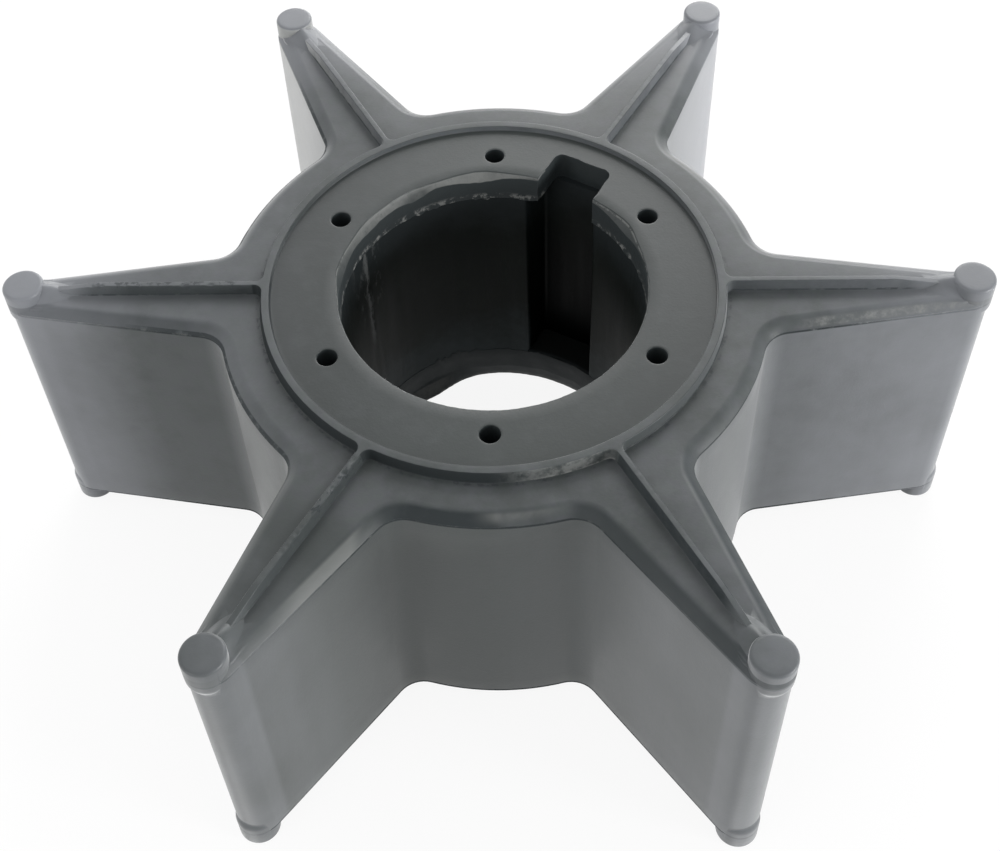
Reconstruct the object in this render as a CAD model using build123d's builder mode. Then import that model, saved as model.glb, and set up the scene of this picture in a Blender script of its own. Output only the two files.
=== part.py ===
"""Flexible-vane pump impeller: a moulded rubber body bonded around a keyed hub insert.

The impeller stands on its axis with +Z up. The origin is on the axis, in the plane of the
rib tops of the lower end, and the first vane points along +X. Lengths are in millimetres
and angles in degrees.
"""

import os
from math import cos, radians, tan

from build123d import *

# Moulded body: the hub drum and its vanes
overall_height = 27.4
hub_radius = 21.1
edge_chamfer = 0.7
vane_count = 6
vane_reach = 37.8
vane_tip_radius = 1.8
vane_side_taper = 8.7
vane_root_fillet = 2.3

# Raised ring, ribs and disc on both ends
rib_height = 0.95
rib_width = 0.55
ring_inset = 3.3
ring_width = 0.7
disc_rise = 0.5

# Sealing buttons at the vane ends: a barrel that runs out into the vane's end
button_inset = 1.37
button_radius = 1.6
button_length = 2.6
button_run_out = 0.8
run_out_sink = 0.1

# Hub insert and its keyway
bore_radius = 11.9
insert_wall = 4.6
upper_skin = 2.55
lower_skin = 3.75
keyway_width = 6.0
keyway_depth = 2.8
keyway_angle = 62.7

# Rubber lips over the insert's ends, and the slot in the upper one
lip_clearance = 0.05
lip_bevel_width = 0.2
lip_bevel_height = 0.6
slot_width = 5.0
slot_depth = 3.15
slot_corner_radius = 0.6
slot_angle = 60.5

# Holes left by the mould's pins, which held the insert
pin_hole_radius = 0.8
pin_hole_wall = 1.32

# Levels and places that follow from the sizes above
half_height = overall_height / 2
face_level = half_height - rib_height
disc_level = face_level + disc_rise
vane_pitch = 360 / vane_count
vane_tip_centre = vane_reach - vane_tip_radius
side_taper = radians(vane_side_taper)
vane_half_at_axis = vane_tip_radius / cos(side_taper) + vane_tip_centre * tan(side_taper)
ring_radius = hub_radius - ring_inset
ring_middle_radius = ring_radius - ring_width / 2
button_circle_radius = vane_reach - button_inset
rib_length = button_circle_radius - ring_middle_radius
button_foot = half_height - button_length
run_out_radius = button_inset - run_out_sink
insert_radius = bore_radius + insert_wall
lip_radius = bore_radius + lip_clearance
slot_reach = lip_radius + slot_depth
pin_circle_radius = lip_radius + pin_hole_wall + pin_hole_radius
disc_top = half_height + disc_level
disc_bottom = half_height - disc_level
insert_bottom = disc_bottom + lower_skin
insert_top = disc_top - upper_skin
insert_length = insert_top - insert_bottom

# The body is the same above and below this plane
middle = Plane.XY.offset(half_height)
standing = (Align.CENTER, Align.CENTER, Align.MIN)
outward = (Align.MIN, Align.CENTER)


def is_root_corner(corner):
    """Tell whether a corner of the plan outline lies where a vane's side leaves the hub."""
    return abs(Vector(corner.X, corner.Y).length - hub_radius) < edge_chamfer


# Plan outline of one vane, from the axis to its rounded end
with BuildSketch() as vane_outline:
    with BuildLine():
        vane_end = CenterArc((vane_tip_centre, 0), vane_tip_radius, 0, 90 - vane_side_taper)
        Polyline(vane_end @ 1, (0, vane_half_at_axis), (0, 0))
        mirror(about=Plane.XZ)
    make_face()

with BuildPart() as rubber_body:
    # Upper half of the drum and vanes, with a chamfer all round the end face
    with BuildSketch(middle) as plan:
        Circle(hub_radius)
        with PolarLocations(0, vane_count):
            add(vane_outline.sketch)
        fillet(plan.vertices().filter_by(is_root_corner), vane_root_fillet)
    extrude(amount=face_level)
    chamfer(faces().sort_by(Axis.Z)[-1].edges(), edge_chamfer)

    # Ring and ribs, and the disc inside the ring
    with BuildSketch(middle.offset(face_level)):
        Circle(ring_radius)
        Circle(ring_radius - ring_width, mode=Mode.SUBTRACT)
        with PolarLocations(ring_middle_radius + rib_length / 2, vane_count):
            Rectangle(rib_length, rib_width)
    extrude(amount=rib_height)
    with BuildSketch(middle.offset(face_level)):
        Circle(ring_middle_radius)
    extrude(amount=disc_rise)

    # Buttons, each with its run-out below
    with Locations(middle.offset(button_foot).location):
        with PolarLocations(button_circle_radius, vane_count):
            Cylinder(button_radius, button_length, align=standing)
    with Locations(middle.offset(button_foot - button_run_out).location):
        with PolarLocations(button_circle_radius, vane_count):
            Cone(run_out_radius, button_radius, button_run_out, align=standing)

    # Bevelled lip of the bore
    with BuildSketch(middle):
        Circle(lip_radius)
    extrude(amount=half_height, mode=Mode.SUBTRACT)
    with Locations(middle.offset(disc_level - lip_bevel_height).location):
        Cone(lip_radius, lip_radius + lip_bevel_width, lip_bevel_height, align=standing, mode=Mode.SUBTRACT)

    mirror(about=middle)

    # Pocket that the insert fills, and the pin holes that end on it
    with BuildSketch(Plane.XY.offset(insert_bottom)):
        Circle(insert_radius)
    extrude(amount=insert_length, mode=Mode.SUBTRACT)
    with PolarLocations(pin_circle_radius, vane_count, start_angle=vane_pitch / 2):
        Hole(pin_hole_radius)

    # Slot in the upper lip, over the keyway
    with BuildSketch(Plane.XY.offset(insert_top)) as slot:
        with PolarLocations(0, 1, start_angle=slot_angle):
            Rectangle(slot_reach, slot_width, align=outward)
        fillet(slot.vertices().group_by(SortBy.DISTANCE)[-1], slot_corner_radius)
    extrude(amount=upper_skin, mode=Mode.SUBTRACT)

with BuildPart() as hub_insert:
    with BuildSketch(Plane.XY.offset(insert_bottom)):
        Circle(insert_radius)
        Circle(bore_radius, mode=Mode.SUBTRACT)
        with PolarLocations(0, 1, start_angle=keyway_angle):
            Rectangle(bore_radius + keyway_depth, keyway_width, align=outward, mode=Mode.SUBTRACT)
    extrude(amount=insert_length)

rubber_body.part.label = "rubber_body"
hub_insert.part.label = "hub_insert"

os.makedirs("parts", exist_ok=True)
export_step(rubber_body.part, "parts/rubber_body.step")
export_step(hub_insert.part, "parts/hub_insert.step")
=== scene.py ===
"""Dresses a flexible-vane pump impeller: a moulded rubber star bonded round a black keyed sleeve.

The meshes are drawn in millimetres, about the impeller's own axis, and brought to metres when a
piece is finished. Angles are in degrees unless a name says otherwise.
"""

import logging
from collections.abc import Mapping, Sequence
from dataclasses import dataclass, field
from enum import Enum
from itertools import pairwise
from math import asin, atan2, cos, exp, hypot, pi, radians, sin

import bmesh
import bpy
from mathutils import Matrix, Vector, noise


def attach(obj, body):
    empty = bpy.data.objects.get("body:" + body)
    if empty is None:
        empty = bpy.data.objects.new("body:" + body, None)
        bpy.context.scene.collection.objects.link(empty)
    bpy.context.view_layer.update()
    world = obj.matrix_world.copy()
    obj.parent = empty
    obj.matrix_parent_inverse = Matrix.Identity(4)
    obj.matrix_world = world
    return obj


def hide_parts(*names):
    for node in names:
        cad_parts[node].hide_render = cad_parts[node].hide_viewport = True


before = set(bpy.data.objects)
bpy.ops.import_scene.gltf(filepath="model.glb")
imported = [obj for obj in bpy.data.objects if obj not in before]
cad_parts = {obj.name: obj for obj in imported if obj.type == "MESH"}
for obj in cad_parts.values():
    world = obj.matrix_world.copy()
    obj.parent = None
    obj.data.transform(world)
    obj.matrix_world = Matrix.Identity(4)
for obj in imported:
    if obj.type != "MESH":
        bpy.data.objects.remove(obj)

LOG = logging.getLogger("impeller")
MM = 0.001
WELD = 0.001
HOLD_APART = 16.0
UP = Vector((0, 0, 1))
ORIGIN = Vector((0, 0, 0))

Profile = list[tuple[float, float]]
Loop = list[bmesh.types.BMEdge]


def polar(radius: float, angle: float, level: float = 0.0) -> Vector:
    """Give the point at a radius and an angle in radians about the axis, at a level."""
    return Vector((radius * cos(angle), radius * sin(angle), level))


def swell(angle: float, centre: float, spread: float) -> float:
    """Give a smooth bump round the axis.

    Args:
        angle: Where it is read, in radians.
        centre: The bump's middle, in degrees.
        spread: Its half width, in degrees.

    Returns:
        1 at the middle, falling to nearly 0 at twice the spread.
    """
    away = (angle - radians(centre) + pi) % (2 * pi) - pi
    return exp(-((away / radians(spread)) ** 2))


def ragged(angle: float, pitch: float, seed: float) -> float:
    """Give unevenness from -1 to 1 that closes on itself round the axis.

    Args:
        angle: Where it is read, in radians.
        pitch: How many uneven stretches there are in one radian.
        seed: Which pattern is read.

    Returns:
        The height of the pattern there.
    """
    return noise.noise(Vector((cos(angle) * pitch, sin(angle) * pitch, seed)))


def curve(start: Vector, control: Vector, end: Vector, steps: int) -> Profile:
    """Give the points of a curve that leaves one point and reaches another towards a third."""
    points = []
    for step in range(steps + 1):
        t = step / steps
        point = start * (1 - t) ** 2 + control * 2 * t * (1 - t) + end * t**2
        points.append((point.x, point.y))
    return points


def soften(corners: Profile, size: float, steps: int = 3) -> Profile:
    """Round the inner corners of a profile.

    Args:
        corners: The profile with sharp corners.
        size: How far from a corner its rounding starts.
        steps: How many stretches each rounding has.

    Returns:
        The profile with each inner corner replaced by a short curve.
    """
    points = [corners[0]]
    for before, corner, after in zip(corners, corners[1:], corners[2:]):
        here = Vector(corner)
        back = Vector(before) - here
        on = Vector(after) - here
        start = here + back.normalized() * min(size, back.length / 2)
        end = here + on.normalized() * min(size, on.length / 2)
        points += curve(start, here, end, steps)
    points.append(corners[-1])
    return points


def swing(
    mesh: bmesh.types.BMesh, vert: bmesh.types.BMVert, centre: Vector, angle: float, steps: int
) -> bmesh.types.BMVert:
    """Draw an arc on from a vertex and give the arc's last vertex.

    Args:
        mesh: The mesh that the arc is drawn in.
        vert: The vertex that it starts from.
        centre: Its centre, at the vertex's level.
        angle: How far it turns, in radians, counter-clockwise from above.
        steps: How many edges it has.

    Returns:
        The vertex at its far end.
    """
    made = bmesh.ops.spin(mesh, geom=[vert], cent=centre, axis=UP, angle=angle, steps=steps)
    return made["geom_last"][0]


def run(
    mesh: bmesh.types.BMesh, vert: bmesh.types.BMVert, end: Vector, steps: int
) -> bmesh.types.BMVert:
    """Draw a straight line on from a vertex, cut into steps, and give its last vertex."""
    made = bmesh.ops.extrude_vert_indiv(mesh, verts=[vert])
    made["verts"][0].co = end
    bmesh.ops.subdivide_edges(mesh, edges=made["edges"], cuts=steps - 1)
    return min(mesh.verts, key=lambda near: (near.co - end).length)


def pour(source: bmesh.types.BMesh, target: bmesh.types.BMesh) -> None:
    """Add one mesh to another, and free the first."""
    carrier = bpy.data.meshes.new("carrier")
    source.to_mesh(carrier)
    source.free()
    target.from_mesh(carrier)
    bpy.data.meshes.remove(carrier)


@dataclass(frozen=True)
class StarOutline:
    """A plan outline with arms round a hub, each blended into it and rounded at its end."""

    hub_radius: float
    root_fillet: float
    end_centre: float
    end_radius: float
    taper: float
    arms: int = 6
    hub_steps: int = 8
    fillet_steps: int = 8
    side_steps: int = 12
    end_steps: int = 8

    def draw(self, offset: float, level: float) -> bmesh.types.BMesh:
        """Draw the outline moved outwards by an offset.

        Args:
            offset: How far out from the true outline, or in if it is negative.
            level: The height that it is drawn at.

        Returns:
            A mesh of one closed loop of edges.
        """
        taper = radians(self.taper)
        half_pitch = pi / self.arms
        side = Vector((sin(taper), cos(taper), 0))
        end = Vector((self.end_centre, 0, 0))
        side_distance = self.end_radius + end.dot(side)
        root_distance = self.hub_radius + self.root_fillet
        meeting = asin((side_distance + self.root_fillet) / root_distance) - taper
        mesh = bmesh.new()
        vert = mesh.verts.new(polar(self.hub_radius + offset, half_pitch))
        vert = swing(mesh, vert, ORIGIN, meeting - half_pitch, self.hub_steps)
        fillet_turn = pi / 2 - taper - meeting
        vert = swing(mesh, vert, polar(root_distance, meeting), fillet_turn, self.fillet_steps)
        vert = run(mesh, vert, end + side * (self.end_radius + offset), self.side_steps)
        swing(mesh, vert, end, taper - pi / 2, self.end_steps)
        bmesh.ops.mirror(mesh, geom=mesh.verts[:] + mesh.edges[:], axis="Y", merge_dist=WELD)
        bmesh.ops.spin(
            mesh,
            geom=mesh.verts[:] + mesh.edges[:],
            cent=ORIGIN,
            axis=UP,
            angle=2 * pi * (self.arms - 1) / self.arms,
            steps=self.arms - 1,
            use_duplicate=True,
        )
        bmesh.ops.remove_doubles(mesh, verts=mesh.verts, dist=WELD)
        bmesh.ops.translate(mesh, verts=mesh.verts, vec=(0, 0, level))
        return mesh


class Shell:
    """A surface in the making: plan loops that are bridged into walls or filled into faces."""

    def __init__(self) -> None:
        """Start with nothing."""
        self.mesh = bmesh.new()

    def take(self, loop: bmesh.types.BMesh) -> Loop:
        """Add a loop that was drawn by itself, and give its edges here."""
        known = set(self.mesh.edges)
        pour(loop, self.mesh)
        return [edge for edge in self.mesh.edges if edge not in known]

    def circle(self, radius: float, level: float, steps: int, centre: Vector = ORIGIN) -> Loop:
        """Add a level circle and give its edges."""
        known = set(self.mesh.edges)
        place = Matrix.Translation((centre.x, centre.y, level))
        bmesh.ops.create_circle(self.mesh, radius=radius, segments=steps, matrix=place)
        return [edge for edge in self.mesh.edges if edge not in known]

    def wall(self, loops: Sequence[Loop]) -> None:
        """Bridge each loop to the next, held apart meanwhile so that level strips don't twist."""
        for near, far in pairwise(loops):
            verts = list({vert for edge in far for vert in edge.verts})
            bmesh.ops.translate(self.mesh, verts=verts, vec=UP * HOLD_APART)
            bmesh.ops.bridge_loops(self.mesh, edges=near + far)
            bmesh.ops.translate(self.mesh, verts=verts, vec=UP * -HOLD_APART)

    def face(self, *loops: Loop) -> None:
        """Fill the level face that lies between an outer loop and the loops inside it."""
        edges = [edge for loop in loops for edge in loop]
        bmesh.ops.triangle_fill(self.mesh, use_beauty=True, edges=edges, normal=UP)

    def star_wall(self, outline: StarOutline, profile: Profile) -> tuple[Loop, Loop]:
        """Sweep a profile along an outline.

        Args:
            outline: The outline that the profile's first number is an offset from.
            profile: Offsets and levels, in order.

        Returns:
            The first and the last loop of the wall.
        """
        loops = [self.take(outline.draw(offset, level)) for offset, level in profile]
        self.wall(loops)
        return loops[0], loops[-1]

    def round_wall(
        self, radius: float, profile: Profile, steps: int, centre: Vector = ORIGIN
    ) -> tuple[Loop, Loop]:
        """Sweep a profile round a circle, whose radius its first number is an offset from."""
        loops = [self.circle(radius + offset, level, steps, centre) for offset, level in profile]
        self.wall(loops)
        return loops[0], loops[-1]


@dataclass(frozen=True)
class KnifeCut:
    """A stretch of the bore's lip that was trimmed further back by hand."""

    centre: float
    spread: float
    width: float
    depth: float


@dataclass(frozen=True)
class BoreLip:
    """The rubber edge of the bore: a trimmed bevel, a wall and a thin flash over the sleeve."""

    wall_radius: float = 11.87
    land_radius: float = 13.05
    bevel_width: float = 0.1
    bevel_depth: float = 0.3
    cuts: tuple[KnifeCut, ...] = ()
    flash: float = 0.15
    flash_rough: float = 0.45
    flash_thickness: float = 0.1
    width_sway: float = 0.12
    depth_sway: float = 0.2
    wall_sway: float = 0.4
    chop: float = 0.06
    fine_share: float = 0.5
    seed: float = 1.0
    coarse_seed: float = 7
    bulge_seed: float = 13
    key_angle: float = 62.7
    key_spread: float = 14
    corner_round: float = 0.05
    steps: int = 540
    fine_pitch: float = 26.0
    coarse_pitch: float = 6.0

    def station(self, angle: float, land: float, ceiling: float) -> Profile:
        """Give the lip's profile at one angle.

        Args:
            angle: Where round the axis, in radians.
            land: The level of the face that the lip ends.
            ceiling: The level of the sleeve's end under the rubber.

        Returns:
            Radii and levels, from the land to the hidden foot on the sleeve's end.
        """
        swells = [(cut, swell(angle, cut.centre, cut.spread)) for cut in self.cuts]
        cut_width = self.bevel_width + sum(cut.width * share for cut, share in swells)
        cut_depth = self.bevel_depth + sum(cut.depth * share for cut, share in swells)
        fine = ragged(angle, self.fine_pitch, self.seed)
        coarse = ragged(angle, self.coarse_pitch, self.seed + self.coarse_seed)
        bulge = self.chop * ragged(angle, self.fine_pitch, self.seed + self.bulge_seed)
        top = self.wall_radius + cut_width * (1 + self.width_sway * coarse)
        top += self.chop * fine * self.fine_share
        inner = self.wall_radius + self.chop * self.wall_sway * coarse
        knee = land - cut_depth * (1 + self.depth_sway * coarse) + self.chop * fine
        hang = self.flash + self.flash_rough * max(0.0, coarse + self.fine_share * fine)
        hang *= 1 - swell(angle, self.key_angle, self.key_spread)
        end = ceiling - hang
        behind = self.wall_radius + self.flash_thickness
        bulge *= self.wall_sway
        corners = [
            (self.land_radius, land),
            (top, land),
            ((top + inner) / 2 + bulge, (land + knee) / 2 + bulge),
            (inner, knee),
            (inner, (knee + end) / 2),
            (self.wall_radius, end),
            (behind, end + self.flash_thickness),
            (behind, ceiling),
        ]
        return soften(corners, self.corner_round, steps=2)

    def build(self, shell: Shell, land: float, ceiling: float) -> tuple[Loop, Loop]:
        """Add the lip to a shell and give its loops at the land and on the sleeve's end."""
        stations = [self.station(2 * pi * k / self.steps, land, ceiling) for k in range(self.steps)]
        loops = []
        for row in range(len(stations[0])):
            loop = shell.circle(1.0, 0.0, self.steps)
            for vert in {vert for edge in loop for vert in edge.verts}:
                turn = atan2(vert.co.y, vert.co.x) % (2 * pi)
                radius, level = stations[round(turn / (2 * pi) * self.steps) % self.steps][row]
                vert.co = polar(radius, turn, level)
            loops.append(loop)
        shell.wall(loops)
        return loops[0], loops[-1]


@dataclass(frozen=True)
class Chew:
    """A stretch of a rib whose edge came out of the mould torn."""

    vane: int
    start: float
    end: float
    depth: float


@dataclass(frozen=True)
class RubberEnd:
    """One end of the rubber body, drawn as the upper one: side, edge, ribs, ring, disc and lip.

    Each set of offsets runs along its wall's profile, in the order that the wall is drawn.
    """

    lip: BoreLip
    ceiling: float
    chews: tuple[Chew, ...] = ()
    outline: StarOutline = StarOutline(21.1, 2.3, 36.0, 1.8, 8.7)
    relief: StarOutline = StarOutline(17.8, 0.6, 35.4, 0.27, 0.0, side_steps=110, end_steps=4)
    middle: float = 13.7
    face_level: float = 26.45
    disc_level: float = 26.95
    rib_level: float = 27.38
    edge: float = 0.7
    edge_round: float = 0.05
    edge_start: float = 0.12
    edge_bead: float = 0.08
    edge_run: float = 0.42
    edge_steps: int = 10
    line_depth: float = 0.07
    line_width: float = 0.2
    line_lip: float = 0.01
    side_land: float = 1.6
    relief_offsets: tuple[float, ...] = (0.38, 0.08, -0.05, -0.24)
    ring_offsets: tuple[float, ...] = (0.3, 0.0, -0.03, -0.4)
    hole_offsets: tuple[float, ...] = (0.2, 0.0, 0.0, -0.02)
    wall_round: float = 0.06
    ring_inner: float = 17.1
    ring_steps: int = 360
    pocket_radius: float = 16.5
    pocket_steps: int = 180
    hole_radius: float = 0.8
    hole_circle: float = 14.07
    hole_mouth: float = 0.4
    hole_count: int = 6
    hole_steps: int = 40
    vane_count: int = 6
    rib_start: float = 18.4
    rib_end: float = 36.2
    rib_foot: float = 0.02
    run_out_start: float = 30.5
    run_out_length: float = 4.0
    run_out_drop: float = 0.6
    wear: float = 0.015
    wear_end: float = 34.6
    wear_growth: float = 2.5
    chew_fade: float = 1.2
    chew_lean: float = 4
    chew_middle: float = 0.4
    notches: tuple[tuple[float, float, float], ...] = ((1.5, 1.0, 3.0), (3.4, 0.7, 9.0))
    notch_bias: float = 0.1
    notch_spacing: float = 7.0
    waves: tuple[tuple[float, float], ...] = ((1.3, 1.0), (3.1, 0.6))
    wave_share: float = 0.5

    def side_profile(self) -> Profile:
        """Give the body's side and its chamfered edge, as offsets and levels."""
        low = self.face_level - self.edge
        groove = [
            (0.0, low - self.side_land),
            (0.0, low - self.line_width),
            (-self.line_depth, low - self.line_width / 2),
            (self.line_lip, low),
            (-self.edge_bead, low + self.edge_bead),
        ]
        start = Vector((-self.edge_start, low + self.edge_start))
        control = Vector((-self.edge, self.face_level))
        end = Vector((-self.edge - self.edge_run, self.face_level))
        edge = curve(start, control, end, self.edge_steps)
        return [(0.0, self.middle), *soften(groove, self.edge_round), *edge]

    def step_profile(
        self, offsets: Sequence[float], levels: Sequence[float], steps: int
    ) -> Profile:
        """Give the rounded profile of a wall, from its offsets and their levels."""
        return soften(list(zip(offsets, levels)), self.wall_round, steps)

    def relief_profile(self) -> Profile:
        """Give the outer wall of the ring and ribs, as offsets and levels."""
        levels = (self.face_level, self.face_level, self.rib_level, self.rib_level)
        return self.step_profile(self.relief_offsets, levels, steps=4)

    def ring_profile(self) -> Profile:
        """Give the ring's inner wall, as offsets and levels from its top down to the disc."""
        levels = (self.rib_level, self.rib_level, self.disc_level, self.disc_level)
        return self.step_profile(self.ring_offsets, levels, steps=4)

    def pin_hole(self, shell: Shell, place: int) -> tuple[Loop, Loop]:
        """Add the hole that one of the mould's pins left, down to the sleeve's end.

        Args:
            shell: The shell that it is added to.
            place: Its place round the axis, from 0.

        Returns:
            The loops at its rim and at its foot.
        """
        centre = polar(self.hole_circle, pi * (2 * place + 1) / self.hole_count)
        mouth = self.disc_level - self.hole_mouth
        levels = (self.disc_level, self.disc_level, mouth, self.ceiling)
        profile = self.step_profile(self.hole_offsets, levels, steps=3)
        return shell.round_wall(self.hole_radius, profile, self.hole_steps, centre)

    def wear_depth(self, vane: int, radius: float, torn_side: float) -> float:
        """Give how deep a rib's edge wears away at a radius.

        Args:
            vane: The rib's place round the axis.
            radius: How far out along it.
            torn_side: How far to its torn side, from 0 to 1.

        Returns:
            The depth, with every chewed stretch that reaches this far.
        """
        depth = self.wear
        for chew in self.chews:
            if chew.vane == vane and chew.start < radius < chew.end:
                inward = (radius - chew.start) / self.chew_fade
                outward = (chew.end - radius) / self.chew_fade
                depth += chew.depth * min(1.0, inward, outward) * torn_side
        return depth

    def tear(self, mesh: bmesh.types.BMesh) -> None:
        """Wear the ribs' edges, a little all along and much more in the chewed stretches."""
        half_count = self.vane_count / 2
        for vert in mesh.verts:
            radius = hypot(vert.co.x, vert.co.y)
            on_rib = self.rib_start < radius < self.rib_end
            if vert.co.z < self.face_level + self.rib_foot or not on_rib:
                continue
            vane = round(atan2(vert.co.y, vert.co.x) / (pi / half_count)) % self.vane_count
            ending = min(1.0, max(0.0, (radius - self.run_out_start) / self.run_out_length))
            vert.co.z -= (vert.co.z - self.face_level) * self.run_out_drop * ending
            if radius > self.wear_end:
                continue
            around = vane * pi / half_count
            turn = Vector((-sin(around), cos(around), 0))
            torn_side = self.chew_middle + vert.co.dot(turn) * self.chew_lean
            depth = self.wear_depth(vane, radius, min(1.0, max(0.0, torn_side)))
            rough = -self.notch_bias
            for pitch, weight, seed in self.notches:
                spot = Vector((radius * pitch, vane * self.notch_spacing, seed))
                rough += weight * noise.noise(spot)
            across = sum(weight * noise.noise(vert.co * pitch) for pitch, weight in self.waves)
            lift = max(0.0, vert.co.z - self.face_level) / (self.rib_level - self.face_level)
            vert.co.z -= depth * max(0.0, rough) * lift**2 * self.wear_growth
            vert.co += turn * across * depth * self.wave_share * lift

    def build(self) -> bmesh.types.BMesh:
        """Build the end as an open shell whose rims lie in the body's middle plane.

        Returns:
            The mesh, with the rim of the outer side and the rim of the pocket open.
        """
        shell = Shell()
        _, rim = shell.star_wall(self.outline, self.side_profile())
        foot, crest = shell.star_wall(self.relief, self.relief_profile())
        shell.face(rim, foot)
        ring = self.ring_profile()
        ring_crest, ring_foot = shell.round_wall(self.ring_inner, ring, self.ring_steps)
        shell.face(crest, ring_crest)
        holes = [self.pin_hole(shell, place) for place in range(self.hole_count)]
        land, hidden = self.lip.build(shell, self.disc_level, self.ceiling)
        shell.face(ring_foot, land, *(hole[0] for hole in holes))
        pocket_wall = [(0.0, self.ceiling), (0.0, self.middle)]
        pocket, _ = shell.round_wall(self.pocket_radius, pocket_wall, self.pocket_steps)
        shell.face(pocket, hidden, *(hole[1] for hole in holes))
        self.tear(shell.mesh)
        return shell.mesh


@dataclass(frozen=True)
class SealingButton:
    """A round pad at a vane's end that runs out into the vane below it."""

    circle: float = 36.43
    radius: float = 1.6
    top: float = 27.4
    length: float = 2.6
    run_out: float = 0.8
    sunk_radius: float = 1.2
    sunk_length: float = 0.6
    top_land: float = 0.7
    edge_round: float = 0.3
    steps: int = 72

    def build(self, mesh: bmesh.types.BMesh, angle: float) -> None:
        """Add the button as a closed solid.

        Args:
            mesh: The mesh that it is added to.
            angle: Its vane's angle, in radians.
        """
        shell = Shell()
        waist = self.top - self.length - self.run_out
        corners = [
            (self.radius - self.top_land, self.top),
            (self.radius, self.top),
            (self.radius, self.top - self.length),
            (self.sunk_radius, waist),
            (self.sunk_radius, waist - self.sunk_length),
        ]
        centre = polar(self.circle, angle)
        profile = soften(corners, self.edge_round, steps=5)
        upper, lower = shell.round_wall(0.0, profile, self.steps, centre)
        shell.face(upper)
        shell.face(lower)
        pour(shell.mesh, mesh)


@dataclass(frozen=True)
class VaneSaddle:
    """The soft rise by which a vane's flat end climbs to its sealing button."""

    circle: float = 35.3
    stretch_in: float = 2.4
    radius: float = 1.62
    top: float = 27.33
    rise: float = 1.1
    foot: float = 25.5
    rings: tuple[float, ...] = (0.1, 0.2, 0.3, 0.4, 0.5, 0.6, 0.7, 0.8, 0.88, 0.94)
    brim: float = 0.98
    brim_drop: float = 1.06
    steps: int = 64

    def build(self, mesh: bmesh.types.BMesh, angle: float) -> None:
        """Add the rise as a closed solid.

        Args:
            mesh: The mesh that it is added to.
            angle: Its vane's angle, in radians.
        """
        shell = Shell()
        profile = [
            (self.radius * ring, self.top - self.rise * ring * ring * (3 - 2 * ring))
            for ring in self.rings
        ]
        profile.append((self.radius * self.brim, self.top - self.rise * self.brim_drop))
        profile.append((self.radius, self.foot))
        upper, lower = shell.round_wall(0.0, profile, self.steps)
        shell.face(upper)
        shell.face(lower)
        for vert in shell.mesh.verts:
            if vert.co.x < 0:
                vert.co.x *= self.stretch_in
        place = Matrix.Rotation(angle, 4, "Z") @ Matrix.Translation((self.circle, 0, 0))
        bmesh.ops.transform(shell.mesh, matrix=place, verts=shell.mesh.verts)
        pour(shell.mesh, mesh)


@dataclass(frozen=True)
class LipSlot:
    """The slot cut by hand through the upper lip, over the keyway."""

    angle: float = 60.5
    start: float = 9.5
    reach: float = 15.15
    half_width: float = 2.5
    corner_from: float = 13.5
    corner_round: float = 0.8
    corner_steps: int = 6
    foot: float = 23.2
    top: float = 27.8
    upright: float = 0.9
    longest_edge: float = 1.0
    cuts: int = 9
    rough: float = 0.09
    coarse_pitch: float = 0.8
    fine_pitch: float = 2.3
    fine_share: float = 0.5
    seed: int = 5

    def build(self) -> bmesh.types.BMesh:
        """Build the knife's path as a closed solid with slightly uneven walls.

        Vector noise starts from the clock until it is given a seed, which must not be 0.
        """
        noise.seed_set(self.seed)
        mesh = bmesh.new()
        place = Matrix.Rotation(radians(self.angle), 4, "Z")
        middle = Vector(((self.reach + self.start) / 2, 0, (self.foot + self.top) / 2))
        size = (self.reach - self.start, 2 * self.half_width, self.top - self.foot, 1)
        place = place @ Matrix.Translation(middle) @ Matrix.Diagonal(size)
        bmesh.ops.create_cube(mesh, size=1, matrix=place)
        corners = [
            edge
            for edge in mesh.edges
            if abs((edge.verts[0].co - edge.verts[1].co).normalized().z) > self.upright
            and all(hypot(vert.co.x, vert.co.y) > self.corner_from for vert in edge.verts)
        ]
        bmesh.ops.bevel(
            mesh,
            geom=corners,
            offset=self.corner_round,
            affect="EDGES",
            segments=self.corner_steps,
            profile=0.5,
            material=-1,
        )
        long_edges = [edge for edge in mesh.edges if edge.calc_length() > self.longest_edge]
        bmesh.ops.subdivide_edges(mesh, edges=long_edges, cuts=self.cuts, use_grid_fill=True)
        bmesh.ops.triangulate(mesh, faces=mesh.faces)
        for vert in mesh.verts:
            coarse = noise.noise_vector(vert.co * self.coarse_pitch)
            fine = noise.noise_vector(vert.co * self.fine_pitch)
            vert.co += (coarse + self.fine_share * fine) * self.rough
        return mesh


class Join(Enum):
    """How one solid is joined to another."""

    UNITE = "UNION"
    CUT = "DIFFERENCE"


def make_object(name: str, mesh: bmesh.types.BMesh) -> bpy.types.Object:
    """Turn a mesh drawn in millimetres into an object in the scene, in metres.

    Args:
        name: The object's name.
        mesh: Its mesh, which is freed.

    Returns:
        The object, at the origin.
    """
    data = bpy.data.meshes.new(name)
    bmesh.ops.scale(mesh, verts=mesh.verts, vec=(MM, MM, MM))
    mesh.to_mesh(data)
    mesh.free()
    piece = bpy.data.objects.new(name, data)
    bpy.context.scene.collection.objects.link(piece)
    return piece


def join_solid(piece: bpy.types.Object, tool: bpy.types.Object, how: Join) -> None:
    """Join a solid to a piece for good, and take the solid away."""
    modifier = piece.modifiers.new(how.name, "BOOLEAN")
    modifier.operation = how.value
    modifier.solver = "EXACT"
    modifier.object = tool
    graph = bpy.context.evaluated_depsgraph_get()
    result = bpy.data.meshes.new_from_object(piece.evaluated_get(graph))
    piece.modifiers.clear()
    old = piece.data
    piece.data = result
    bpy.data.meshes.remove(old)
    result.name = piece.name
    bpy.data.objects.remove(tool)


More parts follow.
